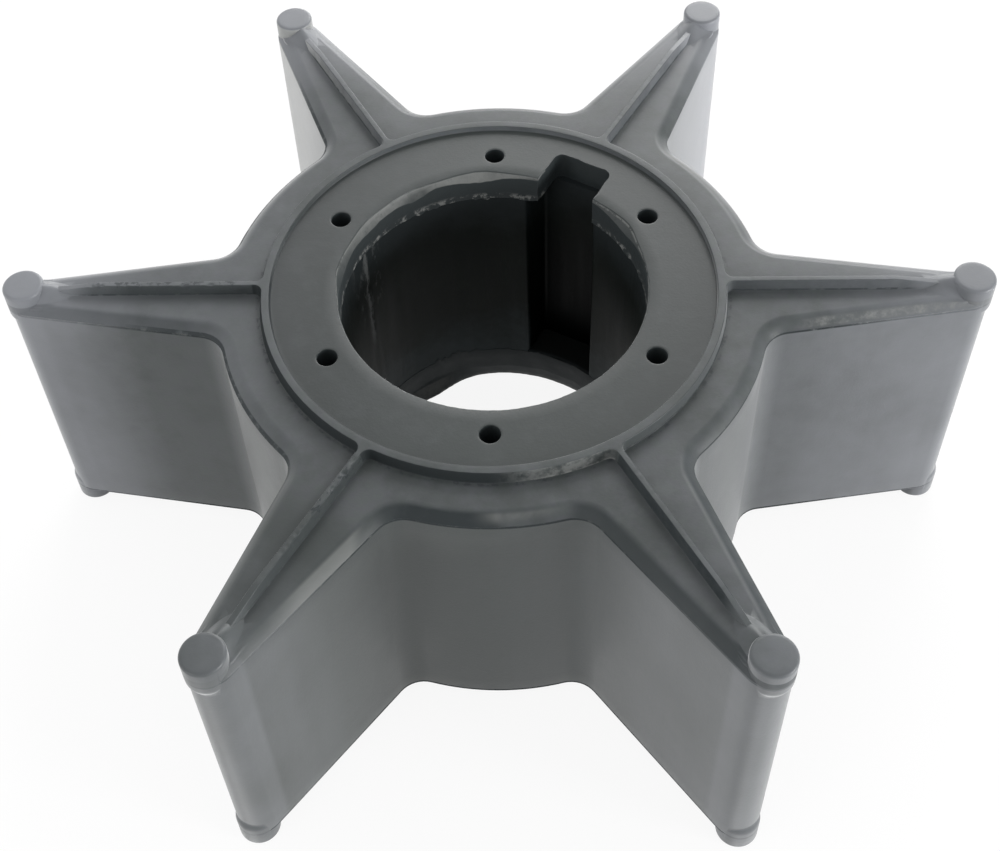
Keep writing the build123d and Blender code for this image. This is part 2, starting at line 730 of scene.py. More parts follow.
def smooth_by_angle(piece: bpy.types.Object, limit: float) -> None:
    """Shade a piece smooth, with a sharp edge wherever it turns by more than a limit."""
    mesh = bmesh.new()
    mesh.from_mesh(piece.data)
    for face in mesh.faces:
        face.smooth = True
    for edge in mesh.edges:
        edge.smooth = edge.is_manifold and edge.calc_face_angle() < radians(limit)
    mesh.to_mesh(piece.data)
    mesh.free()


class Signal:
    """A node's output. Arithmetic is for numbers, and adds the Math nodes that do it."""

    def __init__(self, nodes: "NodeGraph", socket: bpy.types.NodeSocket) -> None:
        """Wrap a socket of a graph."""
        self.nodes = nodes
        self.socket = socket

    def _work(self, operation: str, left: "Feed", right: "Feed") -> "Signal":
        """Add the Math node for an operation on two values."""
        return self.nodes.add("ShaderNodeMath", {"operation": operation}, {0: left, 1: right})

    def __add__(self, other: "Feed") -> "Signal":
        """Add a value to this one."""
        return self._work("ADD", self, other)

    def __radd__(self, other: "Feed") -> "Signal":
        """Add this value to a plain one."""
        return self._work("ADD", other, self)

    def __sub__(self, other: "Feed") -> "Signal":
        """Take a value from this one."""
        return self._work("SUBTRACT", self, other)

    def __rsub__(self, other: "Feed") -> "Signal":
        """Take this value from a plain one."""
        return self._work("SUBTRACT", other, self)

    def __mul__(self, other: "Feed") -> "Signal":
        """Multiply this value by another."""
        return self._work("MULTIPLY", self, other)

    def __rmul__(self, other: "Feed") -> "Signal":
        """Multiply a plain value by this one."""
        return self._work("MULTIPLY", other, self)

    def __abs__(self) -> "Signal":
        """Give this value without its sign."""
        return self.call("ABSOLUTE")

    def call(self, operation: str, *others: "Feed") -> "Signal":
        """Put this value, and any others, through a named operation of the Math node."""
        feeds = dict(enumerate((self, *others)))
        return self.nodes.add("ShaderNodeMath", {"operation": operation}, feeds)

    def clip(self) -> "Signal":
        """Hold this value between 0 and 1."""
        return self.call("MAXIMUM", 0.0).call("MINIMUM", 1.0)

    def ramp(self, start: float, end: float) -> "Signal":
        """Rise smoothly from 0 at start to 1 at end, or fall where end is the smaller."""
        settings = {"interpolation_type": "SMOOTHSTEP"}
        low, high, first, last = (start, end, 0.0, 1.0) if start < end else (end, start, 1.0, 0.0)
        feeds = {"Value": self, "From Min": low, "From Max": high, "To Min": first, "To Max": last}
        return self.nodes.add("ShaderNodeMapRange", settings, feeds)

    def blend(self, other: "Feed", mask: "Feed") -> "Signal":
        """Go from this colour to another as the mask goes from 0 to 1."""
        return self.nodes.mix(self, other, mask)


Feed = Signal | float | tuple[float, ...]


def most(first: Signal, *others: Feed) -> Signal:
    """Give the highest of several values, point by point."""
    for other in others:
        first = first.call("MAXIMUM", other)
    return first


@dataclass(frozen=True)
class Pattern:
    """A cloudy noise from 0 to 1, with about pitch swells in a millimetre.

    A rise below 1 draws it out upwards, and a shift reads another part of it.
    """

    pitch: float
    detail: float
    rough: float
    rise: float = 1.0
    shift: float = 0.0


class NodeGraph:
    """A node tree that nodes are added to."""

    def __init__(self, tree: bpy.types.NodeTree) -> None:
        """Start with an empty tree."""
        self.tree = tree
        tree.nodes.clear()

    def add(
        self,
        kind: str,
        settings: Mapping[str, object] | None = None,
        feeds: Mapping[str | int, Feed] | None = None,
        output: str | int = 0,
    ) -> Signal:
        """Add a node.

        Args:
            kind: Its type.
            settings: Its own properties, which are set first.
            feeds: A value or a link for each socket, by name or place.
            output: The output that is given back.

        Returns:
            That output.
        """
        node = self.tree.nodes.new(kind)
        for name, value in (settings or {}).items():
            setattr(node, name, value)
        for name, feed in (feeds or {}).items():
            if isinstance(feed, Signal):
                self.tree.links.new(feed.socket, node.inputs[name])
            else:
                node.inputs[name].default_value = feed
        return Signal(self, node.outputs[output]) if node.outputs else Signal(self, node.inputs[0])

    def mix(self, first: Feed, second: Feed, mask: Feed) -> Signal:
        """Mix two colours, given as RGBA, by a mask."""
        return self.add("ShaderNodeMix", {"data_type": "RGBA"}, {0: mask, 6: first, 7: second}, 2)

    def millimetres(self) -> Signal:
        """Give the place on the piece in millimetres from its origin."""
        place = self.add("ShaderNodeTexCoord", output="Object")
        feeds = {0: place, "Scale": 1 / MM}
        return self.add("ShaderNodeVectorMath", {"operation": "SCALE"}, feeds)

    def noise(self, place: Signal, pattern: Pattern) -> Signal:
        """Give a pattern, read at a place."""
        if pattern.rise != 1.0 or pattern.shift:
            apart = {"Scale": (1.0, 1.0, pattern.rise), "Location": (pattern.shift,) * 3}
            place = self.add("ShaderNodeMapping", feeds={"Vector": place, **apart})
        kind = {"Scale": pattern.pitch, "Detail": pattern.detail, "Roughness": pattern.rough}
        return self.add("ShaderNodeTexNoise", feeds={"Vector": place, **kind})

    def axes(self, place: Signal) -> tuple[Signal, Signal, Signal]:
        """Give the three parts of a place or direction."""
        apart = self.add("ShaderNodeSeparateXYZ", feeds={0: place}).socket.node
        return tuple(Signal(self, output) for output in apart.outputs)

    def surface(
        self,
        feeds: Mapping[str | int, Feed],
        over: Mapping[str | int, Feed] | None = None,
        mask: Feed = 0.0,
    ) -> None:
        """Add the surface's shader, and lead it to the output.

        Args:
            feeds: Values and links for its sockets.
            over: The same for a second shader, where the surface is of two kinds.
            mask: Where the second shader shows.
        """
        shader = self.add("ShaderNodeBsdfPrincipled", feeds=feeds)
        if over:
            second = self.add("ShaderNodeBsdfPrincipled", feeds=over)
            shader = self.add("ShaderNodeMixShader", feeds={0: mask, 1: shader, 2: second})
        self.add("ShaderNodeOutputMaterial", feeds={"Surface": shader})

    def seen_rays(self) -> Signal:
        """Give 1 for rays that show a background, straight or in a reflection, and 0 for light."""
        kinds = ("Is Camera Ray", "Is Glossy Ray", "Is Transmission Ray")
        return most(*(self.add("ShaderNodeLightPath", output=kind) for kind in kinds))

    def bump(self, height: Feed, depth: float) -> Signal:
        """Turn a height into a normal, where a height of 1 is a depth in millimetres."""
        feeds = {"Height": height, "Distance": depth * MM, "Strength": 1.0}
        return self.add("ShaderNodeBump", feeds=feeds)


def make_material(name: str) -> tuple[bpy.types.Material, NodeGraph]:
    """Make an empty material and the graph that its nodes are added to."""
    material = bpy.data.materials.new(name)
    material.use_nodes = True
    return material, NodeGraph(material.node_tree)


@dataclass(frozen=True)
class RubberPatterns:
    """The uneven patterns in the rubber's skin, from the widest to the finest."""

    cloud: Pattern = Pattern(0.09, 4, 0.55)
    streak: Pattern = Pattern(0.2, 4, 0.5, rise=0.08)
    mottle: Pattern = Pattern(0.5, 5, 0.6)
    fleck: Pattern = Pattern(1.3, 5, 0.7, shift=31.0)
    coarse: Pattern = Pattern(1.6, 3, 0.5, rise=0.3)
    grain: Pattern = Pattern(5.0, 3, 0.6)


class RubberPoint:
    """A point of the rubber: its place in millimetres, how it faces, its patterns and its form.

    Radius is the distance from the axis and level the distance from the middle plane. Each form is
    a mask, which is 1 on that form and fades to 0 beside it.
    """

    def __init__(self, nodes: NodeGraph, middle: float, patterns: RubberPatterns) -> None:
        """Add the nodes that read a point.

        Args:
            nodes: The graph that they are added to.
            middle: The level of the body's middle plane.
            patterns: The patterns that are read there.
        """
        place = nodes.millimetres()
        self.nodes = nodes
        self.x, self.y, self.z = nodes.axes(place)
        self.radius = (self.x * self.x + self.y * self.y).call("SQRT")
        self.level = abs(self.z - middle)
        self.flatness = abs(nodes.axes(nodes.add("ShaderNodeNewGeometry", output="Normal"))[2])
        self.cloud = nodes.noise(place, patterns.cloud)
        self.streak = nodes.noise(place, patterns.streak)
        self.mottle = nodes.noise(place, patterns.mottle)
        self.fleck = nodes.noise(place, patterns.fleck)
        self.coarse = nodes.noise(place, patterns.coarse)
        self.grain = nodes.noise(place, patterns.grain)
        self.mark_forms()

    def mark_forms(self) -> None:
        """Add the masks of the forms that the finish tells apart."""
        radius, level = self.radius, self.level
        self.upright = self.flatness.ramp(0.7, 0.35)
        self.disc = radius.ramp(17.2, 17.0)
        self.ring = radius.ramp(18.6, 18.4)
        self.relief = radius.ramp(16.9, 17.05) * radius.ramp(33.0, 31.0)
        self.relief = self.relief * self.flatness.ramp(0.995, 0.96) * level.ramp(12.745, 12.76)
        self.chamfer = self.flatness.ramp(0.995, 0.85) * level.ramp(12.75, 12.7)
        self.chamfer = self.chamfer * level.ramp(11.98, 12.05)
        self.hollow = radius.ramp(15.9, 15.7) * level.ramp(13.21, 13.15)
        self.upper_edge = self.z.ramp(25.0, 25.4)
        self.front_left = (self.x + self.y).ramp(-13.0, -18.0)

    def by_rib(self, rib: float) -> tuple[Signal, Signal]:
        """Give how far out a point lies along a rib, and how far counter-clockwise of it."""
        turn = radians(rib)
        return self.x * cos(turn) + self.y * sin(turn), self.y * cos(turn) - self.x * sin(turn)


@dataclass(frozen=True)
class MouldedRubber:
    """Black nitrile rubber with a grey satin skin that pales towards the vanes' ends.

    Much of its paling and darkening is painted light and painted shade, set by place on the piece.
    """

    name: str = "moulded_rubber"
    skin: tuple[float, ...] = (0.047, 0.056, 0.055, 1.0)
    cool: tuple[float, ...] = (0.049, 0.053, 0.059, 1.0)
    # Random darker patches, and painted shade on the disc and in front.
    dark: tuple[float, ...] = (0.024, 0.030, 0.029, 1.0)
    # Painted shade, beside two ribs and at the disc's sides.
    painted_shade_tone: tuple[float, ...] = (0.014, 0.018, 0.018, 1.0)
    # Pale bloomed skin, and painted highlight and reflection on the ends, sides and tops.
    pale_bloom_and_highlight: tuple[float, ...] = (0.190, 0.198, 0.216, 1.0)
    # Bared rubber on the cut lips and torn ribs, and painted shade on the raised walls and chamfer.
    bared_and_shaded: tuple[float, ...] = (0.021, 0.026, 0.028, 1.0)
    # Near black, painted shade in a recess low in the bore and on the ring's front left.
    hidden: tuple[float, ...] = (0.003, 0.004, 0.004, 1.0)
    # Knife smears, and painted highlights on the lips, ring, chamfer and back sides.
    smear_and_highlight: tuple[float, ...] = (0.270, 0.275, 0.265, 1.0)
    middle: float = 13.7
    line_level: float = 11.95
    left_rib: float = 180
    front_left_rib: float = 240
    patterns: RubberPatterns = RubberPatterns()
    roughness: float = 0.44
    bared_and_shaded_roughness: float = 0.6
    specular: float = 0.38
    sheen: float = 0.6
    sheen_roughness: float = 0.35
    bared_and_shaded_specular: float = 0.2
    grain_depth: float = 0.015

    def torn(self, at: RubberPoint, rib: float, start: float, end: float) -> Signal:
        """Give a mask of the stretch of a rib, between two radii, that tore in the mould."""
        along, off = at.by_rib(rib)
        on_rib = abs(off).ramp(0.75, 0.45)
        return on_rib * along.ramp(start - 0.5, start) * along.ramp(end + 2.0, end)

    def rib_side_shade(self, at: RubberPoint, rib: float, side: float) -> Signal:
        """Give the painted shade that lies against one side of a rib.

        Args:
            at: The point.
            rib: The rib's angle round the axis.
            side: 1 for the side that is counter-clockwise of the rib, -1 for the other.

        Returns:
            A mask that is 1 in the thick of it.
        """
        along, off = at.by_rib(rib)
        off = off * side
        near = off.ramp(0.15, 0.35) * off.ramp(1.4, 0.5)
        return near * along.ramp(18.0, 19.5) * along.ramp(34.0, 25.0)

    def top_bloom_and_painted_light(self, at: RubberPoint) -> Signal:
        """Give the painted light on the tops of the hub and vanes, strongest on the hub's left."""
        x, y, radius = at.x, at.y, at.radius
        by_ring = radius.ramp(17.9, 18.4)
        # All painted light, added and taken away by place: more on the hub's left, less in front
        # and at the back.
        bloom_and_painted_light = by_ring * radius.ramp(26.0, 22.0) * (0.03 + x.ramp(4.0, -18.0) * 0.09)
        bloom_and_painted_light = bloom_and_painted_light + y.ramp(-10.0, -18.0) * radius.ramp(24.0, 21.0) * by_ring * 0.04
        bloom_and_painted_light = bloom_and_painted_light - y.ramp(-12.0, -18.0) * x.ramp(-3.0, -9.0) * radius.ramp(30.0, 24.0) * 0.12
        bloom_and_painted_light = bloom_and_painted_light - y.ramp(5.0, 25.0) * radius.ramp(20.0, 30.0) * 0.12
        bloom_and_painted_light = bloom_and_painted_light - y.ramp(-14.0, -22.0) * 0.05
        return bloom_and_painted_light + x.ramp(-12.0, -20.0) * y.ramp(-14.0, -8.0) * 0.08

    def bloom_and_painted_light(self, at: RubberPoint) -> Signal:
        """Give the pale bloomed ends, with painted light and shade over the vanes and hub."""
        x, y, radius = at.x, at.y, at.radius
        # Painted light on the buttons, less on the right and more in front.
        cap = 0.06 - x.ramp(20.0, 34.0) * 0.1 + y.ramp(-15.0, -28.0) * 0.11
        # Painted light that grows towards the back and fades in front.
        lean = y * 0.005 + (y.call("MINIMUM", -8.0) + 8.0) * 0.014
        bloom_and_painted_light = radius.ramp(20.5, 38.0) * (0.4 + at.cloud * 0.5 + lean)
        bloom_and_painted_light = bloom_and_painted_light + radius.ramp(34.8, 35.4) * cap
        # Painted reflection on the sides at the back, most on the left.
        bloom_and_painted_light = bloom_and_painted_light + at.upright * y.ramp(0.0, 22.0) * (0.44 - x * 0.012)
        # Painted light on the vanes' roots on the right, painted shade on the left.
        root = radius.ramp(34.0, 25.0) * x * 0.012
        bloom_and_painted_light = bloom_and_painted_light + at.upright * (root + (at.streak - 0.5) * 0.3)
        bloom_and_painted_light = (bloom_and_painted_light + (at.mottle - 0.5) * 0.15).clip()
        # Painted shade on the sides in front, less to the right.
        front = y.ramp(0.0, -4.0)
        front_shade = front * 0.2 + y.ramp(-6.0, -14.0) * 0.15 - x * 0.005
        bloom_and_painted_light = bloom_and_painted_light * (1 - at.upright * front_shade * front * radius.ramp(37.0, 27.0))
        # Painted light on the front vanes' ends on the right, painted shade on the left.
        bloom_and_painted_light = bloom_and_painted_light + at.upright * radius.ramp(30.0, 36.0) * y.ramp(-15.0, -25.0) * x * 0.003
        return bloom_and_painted_light + (1 - at.upright) * self.top_bloom_and_painted_light(at)

    def skin_tint(self, at: RubberPoint) -> Signal:
        """Give the skin's colour: darker on the disc and in front, pale where it bloomed.

        The darkening of the disc, of the front and beside two ribs is painted shade, and much of
        the paling is painted light.
        """
        x, y = at.x, at.y
        # Painted shade on the tops in front.
        front_top = (1 - at.upright) * y.ramp(-14.0, -22.0) * at.radius.ramp(22.0, 25.0)
        # Painted reflection on the sides at the back left.
        back_left_side = at.upright * y.ramp(5.0, 25.0) * x.ramp(-8.0, -20.0)
        # Painted shade beside the left and front-left ribs.
        left_rib_shade = self.rib_side_shade(at, self.left_rib, 1) * (at.mottle * 2 - 0.5)
        rib_shade = most(left_rib_shade, self.rib_side_shade(at, self.front_left_rib, -1), 0.0)
        tint = at.nodes.mix(self.skin, self.cool, at.fleck.ramp(0.35, 0.65))
        tint = tint.blend(self.dark, (at.cloud * 0.6 + at.mottle * 0.6).ramp(0.75, 0.35))
        # Painted shade darkens the disc, most to its right and at its sides.
        tint = tint.blend(self.dark, at.disc * (0.9 + x * 0.02))
        tint = tint.blend(self.painted_shade_tone, at.disc * abs(x) * 0.04)
        # Painted shade on the sides that face the front, and on the tops in front.
        tint = tint.blend(self.dark, at.upright * y.ramp(0.0, -12.0) * 0.8)
        tint = tint.blend(self.dark, front_top * (0.25 + x.ramp(8.0, -8.0) * 0.5))
        # Pale bloomed skin with painted light.
        tint = tint.blend(self.pale_bloom_and_highlight, most(self.bloom_and_painted_light(at), 0.0))
        # Painted reflection, in the pale smear colour.
        tint = tint.blend(self.smear_and_highlight, back_left_side * 0.8)
        # Painted shade beside the ribs.
        return tint.blend(self.painted_shade_tone, rib_shade * 0.6 * at.z.ramp(26.0, 26.3))

    def relief_wall_shade(self, at: RubberPoint) -> Signal:
        """Give the painted shade on the ring's and ribs' walls, and in flecks at their foot."""
        # Painted shade, heaviest on the ring's front left, and on rib walls at the front right.
        shade = 0.45 + at.ring * (at.front_left * 0.8 - 0.1) + (at.mottle - 0.5) * 0.9
        shade = shade + (1 - at.ring) * at.x.ramp(7.0, 9.0) * at.y.ramp(-12.0, -15.0) * 0.45
        # Painted shade in flecks along the walls' foot.
        foot = at.relief * at.level.ramp(13.0, 12.82) * at.fleck.ramp(0.3, 0.5) * 0.85
        return most(at.relief * shade, foot)

    def chamfer_shade(self, at: RubberPoint) -> Signal:
        """Give the painted shade on the chamfer: in front, and a little on the left."""
        x, y = at.x, at.y
        # Painted shade, heaviest in the front's middle and right, faint all along the chamfer.
        middle = x.ramp(-8.5, -7.0) * x.ramp(1.5, 0.0) * (at.mottle * 1.6 + 0.15)
        front = at.upper_edge * y.ramp(-13.0, -18.0)
        front = front * most(middle, x.ramp(5.0, 6.5) * (0.25 + at.mottle * 0.7))
        left = at.upper_edge * y.ramp(0.0, -2.0) * x.ramp(-20.0, -24.0)
        return at.chamfer * (0.05 + front + left * 0.35)

    def parting_line(self, at: RubberPoint) -> Signal:
        """Give the rubbed line below the chamfer, which widens to a band on the left."""
        broken = at.fleck.ramp(0.3, 0.5)
        line = abs(at.level - self.line_level).ramp(0.16, 0.08) * broken
        line = line * at.flatness.ramp(0.95, 0.8) * (0.3 + 0.7 * at.radius.ramp(32.0, 25.0))
        band = at.level.ramp(12.3, 12.22) * at.level.ramp(11.9, 12.0)
        band = band * at.radius.ramp(33.0, 24.0) * at.z.ramp(20.0, 21.0)
        return most(line, band * at.x.ramp(-8.0, -12.0) * (0.3 + broken * 0.6))

    def torn_specks(self, at: RubberPoint) -> Signal:
        """Give the specks on the two torn ribs and on the ring's outer wall."""
        torn = self.torn(at, self.left_rib, 20.0, 30.0) * 0.7
        torn = most(self.torn(at, self.front_left_rib, 18.6, 24.0), torn)
        torn = torn * at.z.ramp(26.7, 27.0) * at.fleck.ramp(0.52, 0.6) * 0.9
        speckle = at.radius.ramp(18.3, 18.1) * at.radius.ramp(17.85, 17.95)
        speckle = speckle * at.z.ramp(26.3, 26.4) * at.z.ramp(27.3, 27.1)
        return most(torn, speckle * at.fleck.ramp(0.5, 0.6) * 0.5)

    def gleam(self, at: RubberPoint) -> Signal:
        """Give the pale shine on the walls of the ring's front."""
        gleam = at.relief * at.ring * at.y.ramp(-12.0, -14.5) * at.x.ramp(9.5, 8.0)
        return gleam * (1 - at.front_left) * at.fleck.ramp(0.3, 0.6) * 0.6

    def glance(self, at: RubberPoint) -> Signal:
        """Give the pale shine on the chamfer, at the front's hollow corners and on the right."""
        x, y, level = at.x, at.y, at.level
        left = x.ramp(-8.0, -9.5) * (0.5 + x.ramp(-15.0, -12.0) * 0.5)
        right = x.ramp(-1.5, 2.0) * x.ramp(6.5, 3.0) * level.ramp(12.0, 12.6)
        corners = y.ramp(-15.0, -18.0) * most(left, right * (0.3 + at.mottle))
        vane = y.ramp(0.0, -2.0) * x.ramp(21.0, 25.0) * at.fleck.ramp(0.15, 0.75)
        vane = vane * level.ramp(12.75, 12.5) * level.ramp(12.0, 12.25) * 1.3
        return at.upper_edge * at.chamfer * most(corners, vane) * 0.55

    def lip_smear_and_highlight(self, at: RubberPoint) -> Signal:
        """Give the knife's pale smears on the bore's lips, with painted light on the cut and its
        edge.
        """
        x, y, z, level = at.x, at.y, at.z, at.level
        # Partly knife smear, partly painted light on the cut that faces up, more to the left and
        # back.
        slope = at.flatness.ramp(0.12, 0.45) * level.ramp(11.8, 12.0)
        slope = slope * (0.3 + x.ramp(9.0, 5.5) * 0.7) * (0.2 + y.ramp(0.0, 8.0) * 0.8)
        slope = slope * (0.3 + at.mottle * 0.5) * at.fleck.ramp(0.05, 0.5)
        flake = at.fleck.ramp(0.5, 0.6) * z.ramp(23.5, 23.9) * z.ramp(25.0, 24.5)
        # Painted highlight along the lip's top edge.
        rim = level.ramp(12.95, 13.1) * at.fleck.ramp(0.4, 0.5)
        smear_and_highlight = most(slope, flake * 0.8, rim * 0.5)
        return smear_and_highlight * at.hollow * at.radius.ramp(13.2, 13.0)

    def make(self) -> bpy.types.Material:
        """Make the material.

        Returns:
            The material, with its pattern in the piece's own millimetres.
        """
        material, nodes = make_material(self.name)
        at = RubberPoint(nodes, self.middle, self.patterns)
        gleam, glance = self.gleam(at), self.glance(at)
        # Painted shade: a recess low in the bore and the ring's front-left wall turn near black.
        sunk = at.radius.ramp(12.0, 12.4) * at.z.ramp(3.2, 3.8) * at.z.ramp(6.0, 5.0)
        shadow = at.ring * at.front_left * at.relief * 0.35
        # Colour of the duller shader: bared rubber, near-black painted shade, pale knife smears and
        # painted highlights.
        raw_and_shaded = nodes.mix(self.bared_and_shaded, self.smear_and_highlight, most(self.lip_smear_and_highlight(at), gleam, glance))
        raw_and_shaded = raw_and_shaded.blend(self.skin, at.hollow * 0.12)
        raw_and_shaded = raw_and_shaded.blend(self.hidden, most(sunk, shadow))
        # The duller, darker shader shows where the skin is cut from the lips, torn on the ribs and
        # rubbed on the parting line, and as painted shade on the raised walls and chamfer, with
        # painted highlights.
        worn_and_shaded = most(
            self.relief_wall_shade(at),
            self.parting_line(at),
            self.chamfer_shade(at),
            self.torn_specks(at),
            gleam,
            glance,
            at.hollow,
        )
        uneven = at.mottle - 0.5
        grain = at.grain - 0.5
        height = grain * 0.4 + (at.coarse - 0.5) * 0.35 + at.hollow * (at.fleck - 0.5) * 2
        normal = nodes.bump(height, self.grain_depth)
        skin = {
            "Base Color": self.skin_tint(at),
            "Roughness": self.roughness + uneven * 0.16 + grain * 0.1,
            "Specular IOR Level": self.specular,
            "Sheen Weight": self.sheen,
            "Sheen Roughness": self.sheen_roughness,
            "Normal": normal,
        }
        bare_and_shaded = {
            "Base Color": raw_and_shaded,
            "Roughness": self.bared_and_shaded_roughness + uneven * 0.3,
            "Specular IOR Level": self.bared_and_shaded_specular,
            "Normal": normal,
        }
        nodes.surface(skin, over=bare_and_shaded, mask=worn_and_shaded.call("MINIMUM", 1.0))
        return material


@dataclass(frozen=True)
class BlackPlastic:
    """Hard black nylon with a slight gloss, rubbed along the bore.

    It is paler towards the top, painted lighter low in the bore as light from the floor, and
    painted darker deep in the keyway as shade.
    """

    name: str = "black_plastic"
    black: tuple[float, ...] = (0.004, 0.006, 0.005, 1.0)
    scuffed: tuple[float, ...] = (0.010, 0.014, 0.011, 1.0)
    top_pale: tuple[float, ...] = (0.020, 0.024, 0.026, 1.0)
    floor_lit_bluish: tuple[float, ...] = (0.065, 0.080, 0.085, 1.0)
    chalk: tuple[float, ...] = (0.09, 0.095, 0.095, 1.0)
    hidden: tuple[float, ...] = (0.001, 0.0015, 0.0015, 1.0)
    seam_angle: float = 151.7
    cloud: Pattern = Pattern(0.25, 4, 0.6)
    drawn: Pattern = Pattern(1.4, 4, 0.6, rise=0.06)
    fleck: Pattern = Pattern(1.7, 5, 0.7, rise=0.35)
    grain: Pattern = Pattern(6.0, 2, 0.5)
    roughness: float = 0.45
    specular: float = 0.05
    grain_depth: float = 0.015

    def make(self) -> bpy.types.Material:
        """Make the material.

        Returns:
            The material, with its pattern in the piece's own millimetres.
        """
        material, nodes = make_material(self.name)
        place = nodes.millimetres()
        x, y, z = nodes.axes(place)
        cloud = nodes.noise(place, self.cloud)
        drawn = nodes.noise(place, self.drawn)
        fleck = nodes.noise(place, self.fleck)
        grain = nodes.noise(place, self.grain)
        seam = radians(self.seam_angle)
        off_seam = abs(x * sin(seam) - y * cos(seam))
        torn = off_seam.ramp(0.45, 0.1) * (x * cos(seam) + y * sin(seam)).ramp(0.0, 1.0)
        torn = torn * z.ramp(12.0, 15.0) * fleck.ramp(0.42, 0.56)
        scuff = off_seam.ramp(3.0, 0.5) * fleck.ramp(0.54, 0.64) * z.ramp(15.0, 19.0) * 0.5
        keyway = (x * x + y * y).call("SQRT").ramp(12.0, 12.4)
        tint = nodes.mix(self.black, self.scuffed, (cloud * 0.5 + drawn * 0.5).ramp(0.42, 0.72))
        # Paler towards the bore's top end.
        tint = tint.blend(self.top_pale, (z + cloud * 6).ramp(22.0, 27.0) * 0.8)
        # Painted light from the floor, low in the bore.
        tint = tint.blend(self.floor_lit_bluish, (z + cloud * 10).ramp(16.0, 8.0) * 0.8)
        tint = tint.blend(self.chalk, most(torn, scuff))
        # Painted shade deep in the keyway, darker downwards.
        tint = tint.blend(self.hidden, keyway * z.ramp(23.0, 13.0))
        height = (drawn - 0.5) + (grain - 0.5) * 0.3
        nodes.surface(
            {
                "Base Color": tint,
                "Roughness": self.roughness + (drawn - 0.5) * 0.25 + (grain - 0.5) * 0.1,
                "Specular IOR Level": self.specular,
                "Normal": nodes.bump(height, self.grain_depth),
            }
        )
        return material


@dataclass
class RubberBody:
    """The moulded rubber: hub and vanes, both ends, the sealing buttons and the lips' cuts."""

    name: str = "moulded_rubber"
    height: float = 27.4
    vane_count: int = 6
    crease: float = 38.0
    upper: RubberEnd = field(
        default_factory=lambda: RubberEnd(
            ceiling=24.4,
            lip=BoreLip(
                cuts=(
                    KnifeCut(31.5, 10, 0.38, 0.45),
                    KnifeCut(97, 12, 0.38, 0.5),
                    KnifeCut(122, 6, 0.1, 0.45),
                    KnifeCut(145, 24, 0.25, 0.65),
                    KnifeCut(172, 9, 0.2, 0.6),
                ),
                seed=1.0,
            ),
            chews=(
                Chew(3, 20.0, 32.0, 0.08),
                Chew(4, 18.6, 23.4, 0.2),
                Chew(4, 22.0, 28.0, 0.1),
            ),
        )
    )
    lower: RubberEnd = field(
        default_factory=lambda: RubberEnd(
            ceiling=23.2,
            relief=StarOutline(17.8, 0.6, 35.4, 0.27, 0.0, side_steps=40, end_steps=4),
            lip=BoreLip(
                cuts=(KnifeCut(124, 15, -0.9, 0.2),),
                bevel_width=0.22,
                bevel_depth=1.45,
                flash=0.1,
                flash_rough=0.9,
                chop=0.05,
                seed=41.0,
            ),
        )
    )
    button: SealingButton = SealingButton()
    saddle: VaneSaddle = VaneSaddle()
    slot: LipSlot = LipSlot()

    def weld_ends(self) -> bmesh.types.BMesh:
        """Build both ends and weld them in the middle plane, with every face outwards."""
        mesh = self.lower.build()
        bmesh.ops.scale(mesh, verts=mesh.verts, vec=(1, 1, -1))
        bmesh.ops.translate(mesh, verts=mesh.verts, vec=(0, 0, self.height))
        shell = Shell()
        shell.take(mesh)
        shell.take(self.upper.build())
        bmesh.ops.remove_doubles(shell.mesh, verts=shell.mesh.verts, dist=WELD)
        bmesh.ops.recalc_face_normals(shell.mesh, faces=shell.mesh.faces)
        return shell.mesh

    def at_vanes(self, kind: "SealingButton | VaneSaddle") -> bmesh.types.BMesh:
        """Build one kind of solid at both ends of every vane, each closed by itself."""
        mesh = bmesh.new()
        for place in range(self.vane_count):
            kind.build(mesh, 2 * pi * place / self.vane_count)
        below = bmesh.ops.duplicate(mesh, geom=mesh.verts[:] + mesh.edges[:] + mesh.faces[:])
        verts = [item for item in below["geom"] if isinstance(item, bmesh.types.BMVert)]
        bmesh.ops.scale(mesh, verts=verts, vec=(1, 1, -1))
        bmesh.ops.translate(mesh, verts=verts, vec=(0, 0, self.height))
        bmesh.ops.recalc_face_normals(mesh, faces=mesh.faces)
        return mesh

    def build(self) -> bpy.types.Object:
        """Build the piece, put it in place of its CAD node and give it its finish.

        Returns:
            The finished object.
        """
        piece = make_object(self.name, self.weld_ends())
        join_solid(piece, make_object("buttons", self.at_vanes(self.button)), Join.UNITE)
        join_solid(piece, make_object("saddles", self.at_vanes(self.saddle)), Join.UNITE)
        join_solid(piece, make_object("slot", self.slot.build()), Join.CUT)
        smooth_by_angle(piece, self.crease)
        piece.data.materials.clear()
        piece.data.materials.append(MouldedRubber().make())
        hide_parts("rubber_body")
        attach(piece, "root")
        return piece


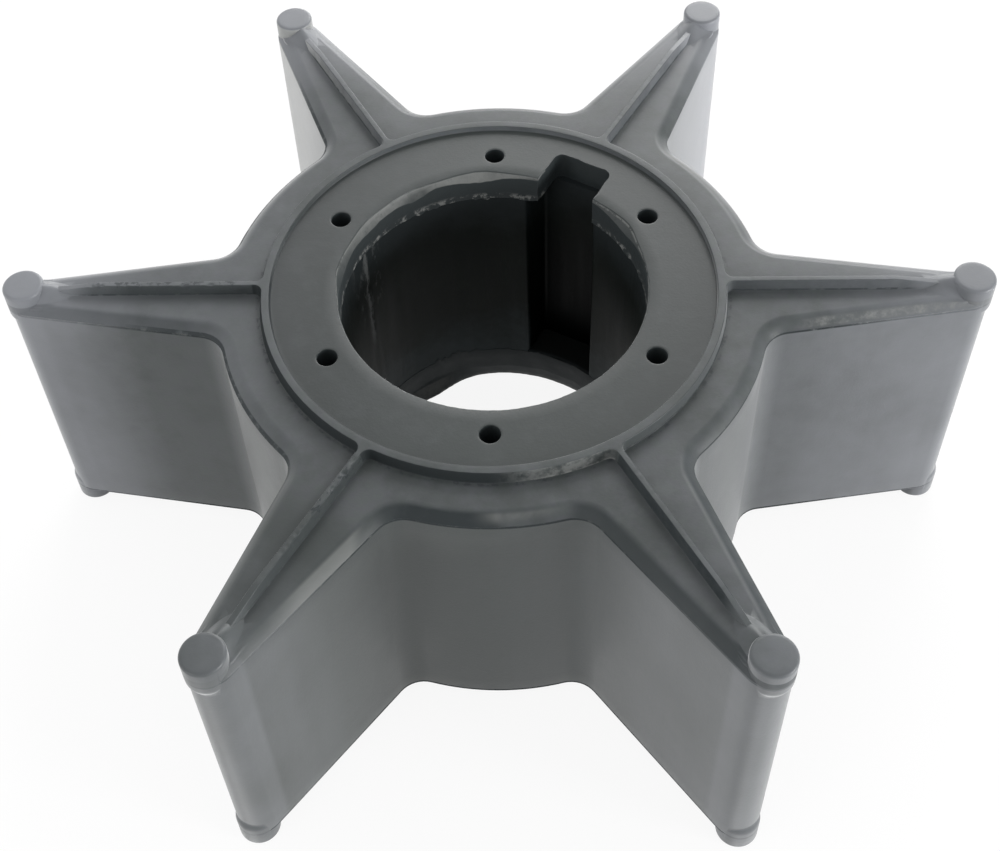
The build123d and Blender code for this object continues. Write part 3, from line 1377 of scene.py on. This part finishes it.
@dataclass
class KeyedSleeve:
    """The hard black sleeve in the hub, with its keyway and the mould's parting line."""

    name: str = "keyed_sleeve"
    bore: float = 11.9
    outside: float = 16.5
    foot: float = 4.2
    top: float = 24.4
    key_angle: float = 62.7
    key_width: float = 6.0
    key_depth: float = 2.8
    key_round: float = 0.35
    key_steps: int = 5
    corner_turn: float = 0.5
    seam_angle: float = 151.7
    seam_height: float = 0.06
    seam_spread: float = 0.9
    seam_start: float = 9
    steps: int = 330
    outside_steps: int = 180
    rows: int = 15
    slack: float = 0.01
    crease: float = 35

    def bore_outline(self, shell: Shell) -> None:
        """Draw the bore and keyway as a closed loop at the sleeve's foot."""
        half = self.key_width / 2
        turn = asin(half / self.bore)
        key = radians(self.key_angle)
        start = polar(self.bore, key + turn, self.foot)
        along = polar(1.0, key)
        across = polar(1.0, key + pi / 2)
        vert = shell.mesh.verts.new(start)
        last = swing(shell.mesh, vert, UP * self.foot, 2 * pi - 2 * turn, self.steps)
        floor = along * (self.bore + self.key_depth) + UP * self.foot
        last = run(shell.mesh, last, floor - across * half, 2)
        last = run(shell.mesh, last, floor + across * half, 2)
        run(shell.mesh, last, start, 2)
        bmesh.ops.remove_doubles(shell.mesh, verts=shell.mesh.verts, dist=WELD)

    def build(self) -> bpy.types.Object:
        """Build the piece, put it in place of its CAD node and give it its finish.

        Returns:
            The finished object.
        """
        shell = Shell()
        self.bore_outline(shell)
        foot = shell.mesh.edges[:]
        risen = bmesh.ops.extrude_edge_only(shell.mesh, edges=foot)["geom"]
        verts = [item for item in risen if isinstance(item, bmesh.types.BMVert)]
        bmesh.ops.translate(shell.mesh, verts=verts, vec=UP * (self.top - self.foot))
        joined = [edge for edge in shell.mesh.edges if edge.is_manifold]
        corners = [edge for edge in joined if edge.calc_face_angle() > self.corner_turn]
        bmesh.ops.bevel(
            shell.mesh,
            geom=corners,
            offset=self.key_round,
            affect="EDGES",
            segments=self.key_steps,
            profile=0.5,
            material=-1,
        )
        bmesh.ops.remove_doubles(shell.mesh, verts=shell.mesh.verts, dist=WELD)
        upright = [edge for edge in shell.mesh.edges if edge.is_manifold]
        bmesh.ops.subdivide_edges(shell.mesh, edges=upright, cuts=self.rows)
        for vert in shell.mesh.verts:
            turn = atan2(vert.co.y, vert.co.x)
            in_bore = hypot(vert.co.x, vert.co.y) < self.bore + self.slack
            if vert.co.z > self.foot + self.seam_start and in_bore:
                height = self.seam_height * swell(turn, self.seam_angle, self.seam_spread)
                vert.co -= polar(height, turn)
        rims = [edge for edge in shell.mesh.edges if edge.is_boundary]
        middle = (self.foot + self.top) / 2
        low = [edge for edge in rims if edge.verts[0].co.z < middle]
        high = [edge for edge in rims if edge.verts[0].co.z > middle]
        side = [(0, self.foot), (0, self.top)]
        outer_low, outer_high = shell.round_wall(self.outside, side, self.outside_steps)
        shell.face(low, outer_low)
        shell.face(high, outer_high)
        bmesh.ops.recalc_face_normals(shell.mesh, faces=shell.mesh.faces)
        piece = make_object(self.name, shell.mesh)
        smooth_by_angle(piece, self.crease)
        piece.data.materials.append(BlackPlastic().make())
        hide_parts("hub_insert")
        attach(piece, "root")
        return piece


@dataclass(frozen=True)
class SoftLamp:
    """A square softbox aimed at the impeller."""

    name: str
    place: tuple[float, float, float]
    size: float
    watts: float
    aim_level: float = 0.014

    def hang(self) -> None:
        """Add the lamp to the scene."""
        data = bpy.data.lights.new(self.name, "AREA")
        data.shape = "SQUARE"
        data.size = self.size
        data.energy = self.watts
        lamp = bpy.data.objects.new(self.name, data)
        lamp.location = self.place
        aim = Vector((0, 0, self.aim_level)) - lamp.location
        lamp.rotation_mode = "QUATERNION"
        lamp.rotation_quaternion = aim.to_track_quat("-Z", "Y")
        bpy.context.scene.collection.objects.link(lamp)


@dataclass
class Studio:
    """A pale floor, soft lamps and the camera.

    The sky is brighter low down, most of all at the back left, and duller in front and overhead.
    """

    floor_radius: float = 2.0
    floor_white: float = 0.92
    floor_glow: float = 0.9
    band: float = 1.1
    band_lean: float = 0.35
    band_away: float = 0.8
    band_across: float = 0.6
    band_full: float = 0.62
    band_top: float = 0.86
    zenith: float = 0.8
    front: float = 0.6
    front_width: tuple[float, float] = (0.25, 0.8)
    front_height: tuple[float, float] = (0.12, 0.42)
    lamps: tuple[SoftLamp, ...] = (
        SoftLamp("back_softbox", (0.15, 0.62, 0.32), 0.45, 4.0),
        SoftLamp("right_softbox", (0.62, -0.27, 0.11), 0.2, 4.5),
        SoftLamp("left_softbox", (-0.5, -0.45, 0.12), 0.25, 1.2),
    )
    lens: float = 57.162
    sensor: float = 36
    clip: tuple[float, float] = (0.01, 20)
    elevation: float = 49.5667
    turn: float = 4.1738
    roll: float = -3.6341
    distance: float = 155.7414
    target: tuple[float, float] = (-2.3407, 20.9443)
    shift: tuple[float, float] = (0.0368, -0.11907)

    def lay_floor(self) -> None:
        """Lay the floor that the impeller stands on."""
        mesh = bmesh.new()
        bmesh.ops.create_circle(mesh, cap_ends=True, radius=self.floor_radius / MM, segments=96)
        floor = make_object("floor", mesh)
        material, nodes = make_material("floor_paper")
        white = (self.floor_white, self.floor_white, self.floor_white, 1.0)
        paper = nodes.add("ShaderNodeBsdfDiffuse", feeds={"Color": white})
        glow = nodes.add("ShaderNodeEmission", feeds={"Strength": 1.0})
        mask = nodes.seen_rays() * self.floor_glow
        mixed = nodes.add("ShaderNodeMixShader", feeds={0: mask, 1: paper, 2: glow})
        nodes.add("ShaderNodeOutputMaterial", feeds={"Surface": mixed})
        floor.data.materials.append(material)

    def light(self) -> None:
        """Hang the lamps and set the sky, which is darker in front and white to the camera."""
        for lamp in self.lamps:
            lamp.hang()
        world = bpy.data.worlds.new("sky")
        world.use_nodes = True
        nodes = NodeGraph(world.node_tree)
        across, away, up = nodes.axes(nodes.add("ShaderNodeTexCoord", output="Generated"))
        towards = away * self.band_away - across * self.band_across
        band = self.band + towards * self.band_lean
        strength = self.zenith + up.ramp(self.band_top, self.band_full) * (band - self.zenith)
        front = (away * -1).ramp(*self.front_width) * up.ramp(*self.front_height)
        strength = strength + front * (self.front - strength)
        strength = strength + nodes.seen_rays() * (1 - strength)
        white = (1, 1, 1, 1)
        glow = nodes.add("ShaderNodeBackground", feeds={"Strength": strength, "Color": white})
        nodes.add("ShaderNodeOutputWorld", feeds={"Surface": glow})
        bpy.context.scene.world = world

    def place_camera(self) -> None:
        """Place the camera."""
        data = bpy.data.cameras.new("camera")
        data.lens = self.lens
        data.sensor_width = self.sensor
        data.shift_x, data.shift_y = self.shift
        data.clip_start, data.clip_end = self.clip
        data.dof.use_dof = False
        tilt = radians(self.elevation)
        lean = radians(self.roll)
        spin = Matrix.Rotation(radians(self.turn), 3, "Z")
        back = Vector((0, -cos(tilt), sin(tilt)))
        level = Vector((1, 0, 0))
        rise = back.cross(level)
        right = level * cos(lean) + rise * sin(lean)
        over = rise * cos(lean) - level * sin(lean)
        stand = Vector((*self.target, 0)) + back * self.distance
        turned = Matrix([spin @ right, spin @ over, spin @ back]).transposed()
        camera = bpy.data.objects.new("camera", data)
        camera.matrix_world = Matrix.Translation(spin @ stand * MM) @ turned.to_4x4()
        bpy.context.scene.collection.objects.link(camera)
        bpy.context.scene.camera = camera

    def build(self) -> None:
        """Set up the whole studio."""
        self.place_camera()
        self.lay_floor()
        self.light()
        bpy.context.scene.view_settings.view_transform = "Standard"


def triangles(piece: bpy.types.Object) -> int:
    """Count the triangles that a piece makes."""
    return sum(len(face.vertices) - 2 for face in piece.data.polygons)


def main() -> None:
    """Build the impeller's pieces and the studio, and report each piece."""
    logging.basicConfig(level=logging.INFO, format="%(name)s: %(message)s")
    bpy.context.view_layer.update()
    Studio().build()
    for part in (RubberBody(), KeyedSleeve()):
        piece = part.build()
        LOG.info("%s: %d triangles", piece.name, triangles(piece))


if __name__ == "__main__":
    main()
